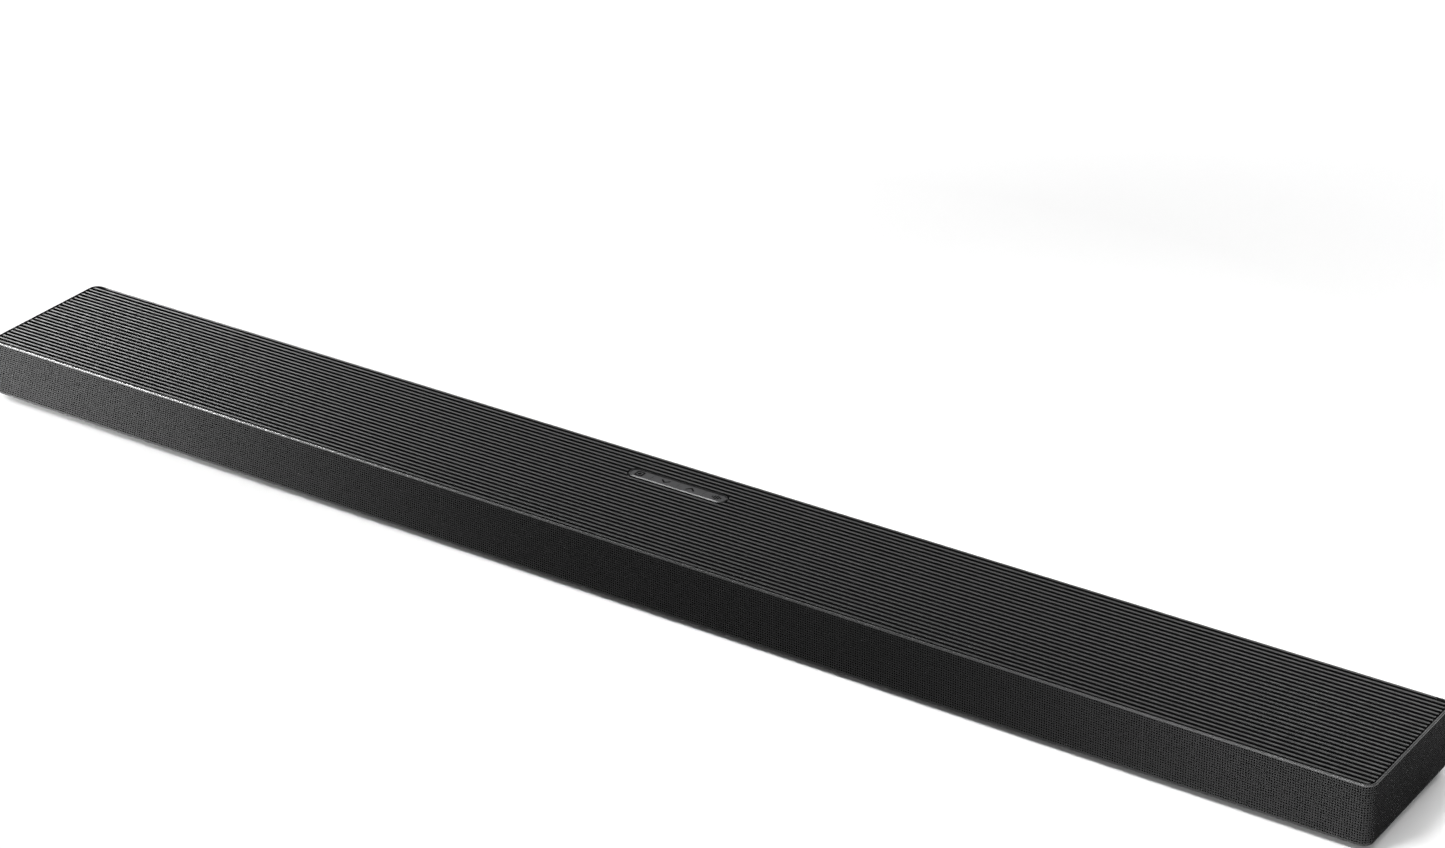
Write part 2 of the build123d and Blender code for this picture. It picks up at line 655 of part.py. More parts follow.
with BuildPart() as key_mat:
    with BuildSketch(Plane.XY.offset(key_board_top)):
        with Locations((0, PILL_Y)):
            Rectangle(PILL_L + KEY_MAT_MARGIN[0], PILL_W + KEY_MAT_MARGIN[1])
    extrude(amount=KEY_MAT_T)
    with BuildSketch(Plane.XY.offset(key_board_top)):
        with Locations(*key_spots):
            RectangleRounded(*DOME_SIZE, DOME_R)
    extrude(amount=MAT_TOP - key_board_top)
    with BuildSketch(Plane.XY.offset(key_board_top)):
        with Locations(*key_spots):
            Rectangle(SWITCH_SIZE + SWITCH_CLEAR, SWITCH_SIZE + SWITCH_CLEAR)
    extrude(amount=SWITCH_H + SKIN_CLEAR, mode=Mode.SUBTRACT)
save(key_mat.part, "key_mat")

with BuildPart() as key_switches:
    with BuildSketch(Plane.XY.offset(key_board_top)):
        with Locations(*key_spots):
            Rectangle(SWITCH_SIZE, SWITCH_SIZE)
    extrude(amount=SWITCH_H - SWITCH_PLUNGER_H)
    with BuildSketch(Plane.XY.offset(key_board_top)):
        with Locations(*key_spots):
            Circle(SWITCH_PLUNGER_R)
    extrude(amount=SWITCH_H)
save(key_switches.part, "key_switches")

with BuildPart() as key_board:
    with BuildSketch(Plane.XY.offset(KEY_BOARD_Z)):
        with Locations((0, PILL_Y)):
            Rectangle(PILL_L + KEY_BOARD_MARGIN[0], PILL_W + KEY_BOARD_MARGIN[1])
    extrude(amount=BOARD_T)
save(key_board.part, "key_board")

# =====================================================================================
# Boards, sockets and wiring
# =====================================================================================


def board(name):
    """A populated circuit board with a clearance hole near each corner."""
    low, high = BOARDS[name]
    centre = ((low[0] + high[0]) / 2, (low[1] + high[1]) / 2)
    with BuildPart() as piece:
        with BuildSketch(Plane.XY.offset(BOARD_BOTTOM)):
            with Locations(centre):
                Rectangle(high[0] - low[0], high[1] - low[1])
            with Locations(*board_corners(low, high)):
                Circle(BOARD_HOLE_R, mode=Mode.SUBTRACT)
        extrude(amount=BOARD_TOP - BOARD_BOTTOM)
        for x, y, length, depth, height in BOARD_PARTS[name]:
            with BuildSketch(Plane.XY.offset(BOARD_TOP)):
                with Locations((x, y)):
                    RectangleRounded(length, depth, BLOCK_R)
            extrude(amount=height)
    return piece.part


for name in BOARDS:
    save(board(name), name)

with BuildPart() as board_screws:
    with BuildSketch(Plane.XY.offset(BOARD_TOP)):
        with Locations(*all_corners):
            Circle(BOARD_SCREW_HEAD[0])
    extrude(amount=BOARD_SCREW_HEAD[1])
    with BuildSketch(Plane.XY.offset(BOARD_TOP)):
        with Locations(*all_corners):
            Circle(POST_PILOT_R)
    extrude(amount=-BOARD_SCREW_L)
save(board_screws.part, "board_screws")

with BuildPart() as heat_sink:
    with BuildSketch(Plane.XY.offset(BOARD_TOP + SINK_PAD_H)):
        with Locations((SINK_X, SINK_Y)):
            Rectangle(*SINK_SIZE)
    extrude(amount=SINK_BASE_T)
    with BuildSketch(Plane.XY.offset(BOARD_TOP + SINK_PAD_H + SINK_BASE_T)):
        with Locations((SINK_X, SINK_Y)):
            with GridLocations(SINK_FIN_PITCH, 0, SINK_FIN_COUNT, 1):
                Rectangle(SINK_FIN[0], SINK_SIZE[1])
    extrude(amount=SINK_FIN[1])
    # pads that reach down to the amplifier board
    with BuildSketch(Plane.XY.offset(BOARD_TOP)):
        with Locations((SINK_X, SINK_Y)):
            with GridLocations(SINK_PAD_SPACING, 0, 2, 1):
                Rectangle(SINK_PAD, SINK_PAD)
    extrude(amount=SINK_PAD_H)
save(heat_sink.part, "heat_sink")

with BuildPart() as receiver_board:
    # stands against the baffle beside the centre woofer, with the remote receiver's lens forwards
    with BuildSketch(Plane.XZ.offset(-BOX_FRONT_Y - RECEIVER_GAP)):
        with Locations((RECEIVER_X, DRIVER_Z)):
            Rectangle(*RECEIVER_BOARD)
    extrude(amount=-RECEIVER_BOARD_T)
    with BuildSketch(Plane.XZ.offset(-BOX_FRONT_Y - RECEIVER_GAP - RECEIVER_BOARD_T)):
        with Locations((RECEIVER_X, DRIVER_Z)):
            Rectangle(*RECEIVER_LENS)
    extrude(amount=-RECEIVER_LENS_T)
save(receiver_board.part, "receiver_board")


def shell_socket(x, size, tongue, tongue_z):
    """A metal-shelled data socket with its contact tongue, on the main board."""
    width, height = size
    centre = (x, BOARD_TOP + height / 2)
    with BuildPart() as piece:
        with BuildSketch(Plane.XZ.offset(-SOCKET_Y)):
            with Locations(centre):
                Rectangle(width, height)
        extrude(amount=SHELL_DEPTH)
        with BuildSketch(Plane.XZ.offset(-SOCKET_Y)):
            with Locations(centre):
                Rectangle(width - 2 * SHELL_WALL, height - 2 * SHELL_WALL)
        extrude(amount=SHELL_DEPTH - SHELL_WALL, mode=Mode.SUBTRACT)
        with BuildSketch(Plane.XZ.offset(-SOCKET_Y + TONGUE_BACK)):
            with Locations((x, centre[1] + tongue_z)):
                Rectangle(*tongue)
        extrude(amount=SHELL_DEPTH - TONGUE_BACK)
    return piece.part


save(shell_socket(HDMI_X, HDMI_SIZE, HDMI_TONGUE, HDMI_TONGUE_Z), "hdmi_socket")
save(shell_socket(USB_X, USB_SIZE, USB_TONGUE, USB_TONGUE_Z), "usb_socket")

with BuildPart() as optical_socket:
    optical = (OPTICAL_X, BOARD_TOP + OPTICAL_SIZE[1] / 2)
    with BuildSketch(Plane.XZ.offset(-SOCKET_Y)):
        with Locations(optical):
            Rectangle(*OPTICAL_SIZE)
    extrude(amount=OPTICAL_DEPTH)
    with BuildSketch(Plane.XZ.offset(-SOCKET_Y)):
        with Locations(optical):
            Rectangle(OPTICAL_CAVITY, OPTICAL_CAVITY)
    extrude(amount=OPTICAL_CAVITY_DEPTH, mode=Mode.SUBTRACT)
save(optical_socket.part, "optical_socket")

with BuildPart() as mains_inlet:
    inlet = (MAINS_X, BOARD_TOP + INLET_SIZE[1] / 2)
    with BuildSketch(Plane.XZ.offset(-SOCKET_Y)):
        with Locations(inlet):
            Rectangle(*INLET_SIZE)
    extrude(amount=INLET_DEPTH)
    # two-pole cavity with its two pins
    with BuildSketch(Plane.XZ.offset(-SOCKET_Y)):
        with Locations(inlet):
            SlotOverall(*INLET_CAVITY)
            with Locations((-INLET_PIN_X, 0), (INLET_PIN_X, 0)):
                Circle(INLET_PIN_R, mode=Mode.SUBTRACT)
    extrude(amount=INLET_CAVITY_DEPTH, mode=Mode.SUBTRACT)
save(mains_inlet.part, "mains_inlet")


with BuildPart() as speaker_cables:
    for spots in CABLE_ROUTES:
        top = (*spots[0], BOARD_BOTTOM)
        points = [top] + [(x, y, CABLE_Z) for x, y in spots]
        with BuildLine() as route:
            FilletPolyline(*points, radius=CABLE_BEND)
        with BuildSketch(Plane(top, z_dir=(0, 0, -1))):
            Circle(CABLE_R)
        sweep(path=route.line)
save(speaker_cables.part, "speaker_cables")

with BuildPart() as key_ribbon:
    # flat cable from the key board down to the main board
    with BuildSketch(Plane.XZ.offset(-RIBBON_Y)):
        with Locations((RIBBON_X, (BOARD_TOP + KEY_BOARD_Z) / 2)):
            Rectangle(RIBBON_W, KEY_BOARD_Z - BOARD_TOP)
    extrude(amount=RIBBON_T)
save(key_ribbon.part, "key_ribbon")

# =====================================================================================
# Drivers
# =====================================================================================


def driver_frame(plane, spec):
    """Flange and basket of a driver, open at the front, with windows in its long sides."""
    length, width = spec["length"], spec["width"]
    with BuildPart() as piece:
        with BuildSketch(plane):
            RectangleRounded(length + 2 * FLANGE_TAB, FLANGE_H, FLANGE_R)
            SlotOverall(length, width, mode=Mode.SUBTRACT)
        extrude(amount=BASKET_PLATE_T)
        with BuildSketch(plane.offset(BASKET_PLATE_T)):
            SlotOverall(length + 2 * BASKET_OUT, width + 2 * BASKET_OUT)
            SlotOverall(length - 2 * BASKET_IN, width - 2 * BASKET_IN, mode=Mode.SUBTRACT)
        extrude(amount=BASKET_H - 2 * BASKET_PLATE_T)
        with BuildSketch(plane.offset(BASKET_H - BASKET_PLATE_T)):
            SlotOverall(length + 2 * BASKET_OUT, width + 2 * BASKET_OUT)
            Circle(GAP_R + BASKET_IN, mode=Mode.SUBTRACT)
        extrude(amount=BASKET_PLATE_T)
        # breathing windows along both long sides
        with BuildSketch(plane.offset(VENT_FROM)):
            with GridLocations(length / 4, 0, 3, 1):
                Rectangle(length / 6, 2 * width)
        extrude(amount=VENT_DEEP, mode=Mode.SUBTRACT)
    return piece.part


def driver_motor(plane, spec):
    """Magnet stack with the ring-shaped gap that the voice coil moves in."""
    motor_r = spec["motor_r"]
    with BuildPart() as piece:
        with BuildSketch(plane.offset(BASKET_H)):
            Circle(motor_r)
            Circle(GAP_R, mode=Mode.SUBTRACT)
        extrude(amount=MOTOR_H - MOTOR_PLATE_T)
        with BuildSketch(plane.offset(BASKET_H + MOTOR_H - MOTOR_PLATE_T)):
            Circle(motor_r - MOTOR_PLATE_INSET)
        extrude(amount=MOTOR_PLATE_T)
        with BuildSketch(plane.offset(BASKET_H)):
            Circle(POLE_R)
        extrude(amount=MOTOR_H - MOTOR_PLATE_T)
    return piece.part


def driver_surround(plane, spec):
    """Rubber half-roll between the flange and the cone."""
    length, width = spec["length"], spec["width"]
    with BuildPart() as piece:
        with BuildSketch(plane.offset(SURROUND_FRONT)):
            SlotOverall(length - 2 * SURROUND_EDGE, width - 2 * SURROUND_EDGE)
            SlotOverall(length - 2 * SURROUND_W, width - 2 * SURROUND_W, mode=Mode.SUBTRACT)
        extrude(amount=SURROUND_EDGE)
        inner_cut = 2 * (SURROUND_W - ROLL_RIM)
        with BuildSketch(plane.offset(SURROUND_FRONT)):
            SlotOverall(length - 2 * ROLL_INSET, width - 2 * ROLL_INSET)
            SlotOverall(length - inner_cut, width - inner_cut, mode=Mode.SUBTRACT)
        extrude(amount=-ROLL_DEEP)
    return piece.part


def driver_cone(plane, spec):
    """Cone, dust cap and voice coil former, which move together."""
    length = spec["length"] - 2 * SURROUND_W - 2 * CONE_CLEAR
    width = spec["width"] - 2 * SURROUND_W - 2 * CONE_CLEAR
    neck_l, neck_w = 2 * (COIL_R + NECK_EXTRA), 2 * COIL_R
    with BuildPart() as piece:
        with BuildSketch(plane.offset(CONE_FRONT)):
            SlotOverall(length, width)
        with BuildSketch(plane.offset(CONE_DEEP)):
            SlotOverall(neck_l, neck_w)
        loft()
        with BuildSketch(plane.offset(CONE_FRONT)):
            SlotOverall(length - 2 * CONE_T, width - 2 * CONE_T)
        with BuildSketch(plane.offset(CONE_DEEP - CONE_T)):
            SlotOverall(neck_l - CONE_T, neck_w - CONE_T)
        loft(mode=Mode.SUBTRACT)
        with BuildSketch(plane.offset(CONE_DEEP)):
            Circle(COIL_R)
            Circle(COIL_R - COIL_T, mode=Mode.SUBTRACT)
        extrude(amount=BASKET_H + COIL_DEEP - CONE_DEEP)
    return piece.part


def save_driver(prefix, plane, spec):
    """Write the four pieces of one driver."""
    save(driver_frame(plane, spec), f"{prefix}_frame")
    save(driver_motor(plane, spec), f"{prefix}_motor")
    save(driver_surround(plane, spec), f"{prefix}_surround")
    save(driver_cone(plane, spec), f"{prefix}_cone")


for side, x in WOOFER_XS.items():
    save_driver(f"{side}_woofer", facing(x, BOX_FRONT_Y, DRIVER_Z, (0, 1, 0)), WOOFER)

for side, sx in (("left", -1), ("right", 1)):
    mouth_x = sx * (LENGTH / 2 - BAFFLE_INSET - BAFFLE_T)
    save_driver(f"{side}_side_driver", facing(mouth_x, 0, DRIVER_Z, (-sx, 0, 0)), SIDE_DRIVER)

    with BuildPart() as tweeter:
        mouth = facing(sx * TWEETER_X, BOX_FRONT_Y, DRIVER_Z, (0, 1, 0))
        with BuildSketch(mouth):
            RectangleRounded(TWEETER_PLATE, TWEETER_PLATE, FLANGE_R)
        extrude(amount=TWEETER_PLATE_T)
        with BuildSketch(mouth.offset(TWEETER_PLATE_T)):
            Circle(TWEETER_R + TWEETER_WALL)
        extrude(amount=TWEETER_BODY_L)
        # waveguide dish, with the dome standing in it
        with BuildSketch(mouth):
            Circle(TWEETER_R - TWEETER_WALL)
            Circle(TWEETER_DOME_R, mode=Mode.SUBTRACT)
        extrude(amount=TWEETER_DISH, mode=Mode.SUBTRACT)
    save(tweeter.part, f"{side}_tweeter")

# =====================================================================================
# Sealed speaker enclosures
# =====================================================================================


def enclosure(x, length, depth):
    """A box open at the front, where the baffle closes it."""
    bottom = BOX_BOTTOM + BOX_CLEAR
    height = BOX_TOP - BOX_CLEAR - bottom
    front = BOX_FRONT_Y
    with BuildPart() as piece:
        with BuildSketch(Plane.XY.offset(bottom)):
            with Locations((x, front + depth / 2)):
                Rectangle(length, depth)
        extrude(amount=height)
        with BuildSketch(Plane.XY.offset(bottom + BOX_SKIN)):
            with Locations((x, front + depth / 2 - WALL / 2)):
                Rectangle(length - 2 * WALL, depth - WALL)
        extrude(amount=height - 2 * BOX_SKIN, mode=Mode.SUBTRACT)
    return piece.part


for side, sx in (("left", -1), ("right", 1)):
    save(enclosure(sx * SIDE_BOX["x"], SIDE_BOX["length"], SIDE_BOX["depth"]), f"{side}_enclosure")
save(enclosure(CENTRE_BOX["x"], CENTRE_BOX["length"], CENTRE_BOX["depth"]), "centre_enclosure")
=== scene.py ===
import json
import math

import bpy
import numpy as np
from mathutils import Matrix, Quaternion, Vector


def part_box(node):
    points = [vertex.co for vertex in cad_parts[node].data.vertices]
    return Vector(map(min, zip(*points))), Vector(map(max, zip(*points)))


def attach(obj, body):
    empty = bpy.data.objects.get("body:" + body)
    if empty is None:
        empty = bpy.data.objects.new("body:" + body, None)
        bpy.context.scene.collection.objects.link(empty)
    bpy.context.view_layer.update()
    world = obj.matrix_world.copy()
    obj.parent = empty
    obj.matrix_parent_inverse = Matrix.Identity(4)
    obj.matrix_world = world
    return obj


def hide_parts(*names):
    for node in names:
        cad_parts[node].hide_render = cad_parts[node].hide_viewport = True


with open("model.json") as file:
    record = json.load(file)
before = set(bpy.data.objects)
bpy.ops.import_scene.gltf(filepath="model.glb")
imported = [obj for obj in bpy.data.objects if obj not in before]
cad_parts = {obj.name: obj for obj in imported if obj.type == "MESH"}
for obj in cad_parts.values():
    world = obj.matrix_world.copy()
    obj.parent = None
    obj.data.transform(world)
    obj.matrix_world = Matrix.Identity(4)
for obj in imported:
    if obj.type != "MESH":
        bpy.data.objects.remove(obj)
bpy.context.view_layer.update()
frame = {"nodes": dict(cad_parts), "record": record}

MM = 0.001
BAR_LOW, BAR_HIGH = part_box("grille")
NODES = frame["nodes"]
CABINET = "cabinet"

# ---- grille: a sheet folded in plan round four corners ----
CORNER_R = 7.5 * MM
SHEET_T = 0.8 * MM
LIP_W = 0.95 * MM
LIP_H = 0.8 * MM
FOLD_R = 0.55 * MM
REAR_RETURN = 12.0 * MM
HOLE_PITCH = 1.8 * MM
HOLE_R = 0.65 * MM
HOLE_ROWS = 23
FIRST_ROW_DROP = 2.4 * MM  # from the top rim to the first row of holes
FIELD_PARTS = 5
ARC_STEPS = 10
FOLD_STEPS = 5
LIP_CHAMFER = 0.15 * MM
HEM_CHAMFER = 0.2 * MM
END_MARGINS = 3.0 * MM  # plain sheet at the two rear ends of the punched field, together
SAME_PLACE = 1e-9  # metres: rounding in distances along the path
REPEATED_STATION = 1e-7  # metres: nearer stations than this are one

# ---- camera: the viewing angle of the reference ----
CAMERA_AT = Vector((1.3469, -1.8524, 1.2881))
CAMERA_AZIMUTH = 34.754
CAMERA_ELEVATION = 27.188
CAMERA_ROLL = 0.964
CAMERA_LENS = 92.69


# =====================================================================================
# Materials
# =====================================================================================

NOISE_LOW, NOISE_HIGH = 0.3, 0.7  # the range that most of a noise texture falls in
BROAD_SCALE = 35.0  # colour drift, in features per metre
DRIFT_SCALE = 120.0  # roughness drift
ROUGHNESS_DRIFT = 0.05
WEAR_AND_HIGHLIGHT_FROM, WEAR_AND_HIGHLIGHT_TO = 0.53, 0.60  # pointiness of a convex edge, where the colour is drawn lighter: partly rubbed wear, partly a painted highlight
THREAD_SCALE = 2500 / (2 * math.pi) * 1.25
THREAD_SHEEN = 2.2  # painted sheen: how much lighter the top of a thread is drawn
TRACK_SCALE = 350.0
TRACK_SHEEN = 1.8


def new_material(name):
    """A fresh node material: its tree, its Principled shader and an object-space coordinate."""
    material = bpy.data.materials.new(name)
    material.use_nodes = True
    tree = material.node_tree
    shader = tree.nodes["Principled BSDF"]
    coordinate = tree.nodes.new("ShaderNodeTexCoord").outputs["Object"]
    return material, tree, shader, coordinate


def noise(tree, coordinate, scale, detail=3.0, stretch=(1, 1, 1)):
    """Noise whose scale is in features per metre, drawn out along the axes with a small stretch."""
    mapping = tree.nodes.new("ShaderNodeMapping")
    mapping.inputs["Scale"].default_value = stretch
    tree.links.new(coordinate, mapping.inputs["Vector"])
    node = tree.nodes.new("ShaderNodeTexNoise")
    node.inputs["Scale"].default_value = scale
    node.inputs["Detail"].default_value = detail
    tree.links.new(mapping.outputs["Vector"], node.inputs["Vector"])
    return node.outputs["Fac"]


def between(tree, factor, low, high):
    """A noise factor spread over a range of numbers."""
    node = tree.nodes.new("ShaderNodeMapRange")
    node.inputs["From Min"].default_value = NOISE_LOW
    node.inputs["From Max"].default_value = NOISE_HIGH
    node.inputs["To Min"].default_value = low
    node.inputs["To Max"].default_value = high
    tree.links.new(factor, node.inputs["Value"])
    return node.outputs["Result"]


def mix_colours(tree, factor, low, high):
    """Blend two colours by a factor."""
    node = tree.nodes.new("ShaderNodeMix")
    node.data_type = "RGBA"
    node.inputs["A"].default_value = (*low, 1)
    node.inputs["B"].default_value = (*high, 1)
    tree.links.new(factor, node.inputs["Factor"])
    return node.outputs["Result"]


def bump(tree, shader, height, strength, distance):
    """Feed a height into the shader's normal."""
    node = tree.nodes.new("ShaderNodeBump")
    node.inputs["Strength"].default_value = strength
    node.inputs["Distance"].default_value = distance
    tree.links.new(height, node.inputs["Height"])
    tree.links.new(node.outputs["Normal"], shader.inputs["Normal"])


def wear_and_highlight_edges(tree):
    """A mask that is 1 on convex edges, where the colour is drawn lighter: partly a rubbed finish, partly a
    painted highlight.
    """
    geometry = tree.nodes.new("ShaderNodeNewGeometry")
    node = tree.nodes.new("ShaderNodeMapRange")
    node.inputs["From Min"].default_value = WEAR_AND_HIGHLIGHT_FROM
    node.inputs["From Max"].default_value = WEAR_AND_HIGHLIGHT_TO
    tree.links.new(geometry.outputs["Pointiness"], node.inputs["Value"])
    return node.outputs["Result"]


def surface(name, colour, roughness, metallic=0.0, spread=0.12, grain=2500.0, grain_depth=0.01 * MM,
            grain_strength=0.25, stretch=(1, 1, 1), edge=0.0, specular=0.5):
    """A moulded, painted or metal surface: fine grain, broad colour and roughness drift, convex edges drawn
    lighter as rubbed wear and as a painted highlight.
    """
    material, tree, shader, coordinate = new_material(name)
    shader.inputs["Metallic"].default_value = metallic
    shader.inputs["Specular IOR Level"].default_value = specular
    broad = noise(tree, coordinate, BROAD_SCALE, 2.0)
    dark = tuple(c * (1 - spread) for c in colour)
    light = tuple(min(c * (1 + spread), 1.0) for c in colour)
    shade = mix_colours(tree, broad, dark, light)
    # edge lightens convex edges: in part rubbed wear, in part a painted highlight along rims and chamfers
    if edge:
        node = tree.nodes.new("ShaderNodeMix")
        node.data_type = "RGBA"
        node.inputs["B"].default_value = (*[min(c + edge, 1.0) for c in colour], 1)
        tree.links.new(wear_and_highlight_edges(tree), node.inputs["Factor"])
        tree.links.new(shade, node.inputs["A"])
        shade = node.outputs["Result"]
    tree.links.new(shade, shader.inputs["Base Color"])
    drift = noise(tree, coordinate, DRIFT_SCALE, 3.0, stretch)
    rough = between(tree, drift, roughness - ROUGHNESS_DRIFT, roughness + ROUGHNESS_DRIFT)
    tree.links.new(rough, shader.inputs["Roughness"])
    bump(tree, shader, noise(tree, coordinate, grain, 4.0, stretch), grain_strength, grain_depth)
    return material


def cloth_material(name, colour):
    """Black speaker cloth: a plain weave of fine crossed threads."""
    material, tree, shader, coordinate = new_material(name)
    heights = []
    for direction in ("X", "Y", "Z"):
        wave = tree.nodes.new("ShaderNodeTexWave")
        wave.bands_direction = direction
        wave.inputs["Scale"].default_value = THREAD_SCALE
        tree.links.new(coordinate, wave.inputs["Vector"])
        heights.append(wave.outputs["Fac"])
    total = heights[0]
    for height in heights[1:]:
        add = tree.nodes.new("ShaderNodeMath")
        add.operation = "ADD"
        tree.links.new(total, add.inputs[0])
        tree.links.new(height, add.inputs[1])
        total = add.outputs["Value"]
    # thread tops drawn lighter than the valleys: painted sheen
    thread_top = tuple(c * THREAD_SHEEN for c in colour)
    shade = mix_colours(tree, between(tree, total, 0.0, 1.0), colour, thread_top)
    tree.links.new(shade, shader.inputs["Base Color"])
    shader.inputs["Roughness"].default_value = 0.95
    shader.inputs["Specular IOR Level"].default_value = 0.15
    bump(tree, shader, total, 0.4, 0.05 * MM)
    return material


def board_material(name, colour):
    """Circuit board: solder mask over fine copper tracks."""
    material, tree, shader, coordinate = new_material(name)
    cells = tree.nodes.new("ShaderNodeTexVoronoi")
    cells.distance = "MANHATTAN"
    cells.inputs["Scale"].default_value = TRACK_SCALE
    tree.links.new(coordinate, cells.inputs["Vector"])
    tracks = between(tree, cells.outputs["Distance"], 0.0, 1.0)
    shade = mix_colours(tree, tracks, colour, tuple(c * TRACK_SHEEN for c in colour))
    tree.links.new(shade, shader.inputs["Base Color"])
    tree.links.new(between(tree, noise(tree, coordinate, 200.0), 0.25, 0.4), shader.inputs["Roughness"])
    bump(tree, shader, tracks, 0.3, 0.03 * MM)
    return material


# edge: how much lighter convex edges are drawn; partly rubbed wear, partly a painted highlight, as on the
# grille rim, the rib edges and the bezel's chamfer
MATERIALS = {
    "top_plastic": surface("top_plastic", (0.003, 0.003, 0.0031), 0.36, spread=0.06, grain=3000.0,
                           grain_strength=0.12, edge=0.002, specular=0.2),
    "grille_metal": surface("grille_metal", (0.011, 0.011, 0.0111), 0.42, spread=0.08, grain=4000.0,
                            grain_strength=0.2, edge=0.003, specular=0.012),
    # the folded rim: the grille's paint drawn lighter here than in grille_metal, a painted highlight along
    # the rim, besides its real smoother, glossier finish
    "grille_edge": surface("grille_edge", (0.020, 0.020, 0.0201), 0.34, spread=0.08, grain=4000.0,
                           grain_strength=0.2, edge=0.01, specular=0.2),
    "case_plastic": surface("case_plastic", (0.016, 0.016, 0.017), 0.55, grain=2200.0, grain_strength=0.5,
                            grain_depth=0.02 * MM, edge=0.01),
    "inner_plastic": surface("inner_plastic", (0.03, 0.03, 0.032), 0.6),
    "foot_rubber": surface("foot_rubber", (0.012, 0.012, 0.012), 0.8, grain=1500.0, grain_strength=0.5),
    "key_plastic": surface("key_plastic", (0.022, 0.022, 0.023), 0.5, spread=0.05, grain=4000.0,
                           grain_strength=0.12, specular=0.12),
    "bezel_metal": surface("bezel_metal", (0.02, 0.02, 0.0204), 0.35, metallic=1.0, stretch=(0.05, 1, 1),
                           grain_strength=0.3, edge=0.03),
    "screw_steel": surface("screw_steel", (0.10, 0.10, 0.105), 0.35, metallic=1.0, edge=0.2),
    "insert_brass": surface("insert_brass", (0.62, 0.45, 0.20), 0.3, metallic=1.0),
    "circuit_board": board_material("circuit_board", (0.01, 0.09, 0.04)),
    "socket_steel": surface("socket_steel", (0.62, 0.62, 0.63), 0.25, metallic=1.0),
    "socket_plastic": surface("socket_plastic", (0.012, 0.012, 0.012), 0.45),
    "heat_sink_aluminium": surface("heat_sink_aluminium", (0.7, 0.71, 0.73), 0.35, metallic=1.0,
                                   stretch=(1, 0.05, 1)),
    "motor_steel": surface("motor_steel", (0.35, 0.35, 0.36), 0.35, metallic=1.0),
    "basket_steel": surface("basket_steel", (0.03, 0.03, 0.03), 0.5),
    "cone_paper": surface("cone_paper", (0.03, 0.03, 0.033), 0.85, grain=900.0, grain_strength=0.8),
    "surround_rubber": surface("surround_rubber", (0.015, 0.015, 0.015), 0.7),
    "cable_sleeve": surface("cable_sleeve", (0.02, 0.02, 0.02), 0.6),
    "acoustic_cloth": cloth_material("acoustic_cloth", (0.0025, 0.0025, 0.0025)),
    "icon_ink": surface("icon_ink", (0.003, 0.003, 0.003), 0.9, spread=0.1, grain=5000.0, grain_strength=0.1,
                        specular=0.01),
}

for part in frame["record"]["subparts"]:
    mesh = NODES[part["node"]].data
    mesh.materials.clear()
    mesh.materials.append(MATERIALS[part["material_slot"]])


# =====================================================================================
# Mesh helpers
# =====================================================================================


def make_mesh(name, vertices, faces, slot, body=CABINET, smooth_angle=35.0):
    """A new piece from vertex and face arrays, riding on a body and painted from a material slot."""
    mesh = bpy.data.meshes.new(name)
    vertices = np.asarray(vertices, np.float32)
    faces = np.asarray(faces, np.int32)
    count, corners = faces.shape
    mesh.vertices.add(len(vertices))
    mesh.vertices.foreach_set("co", vertices.ravel())
    mesh.loops.add(count * corners)
    mesh.loops.foreach_set("vertex_index", faces.ravel())
    mesh.polygons.add(count)
    mesh.polygons.foreach_set("loop_start", np.arange(count, dtype=np.int32) * corners)
    mesh.update(calc_edges=True)
    mesh.validate()
    mesh.polygons.foreach_set("use_smooth", np.ones(len(mesh.polygons), bool))
    mesh.set_sharp_from_angle(angle=math.radians(smooth_angle))
    mesh.materials.append(MATERIALS[slot])
    piece = bpy.data.objects.new(name, mesh)
    bpy.context.scene.collection.objects.link(piece)
    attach(piece, body)
    return piece


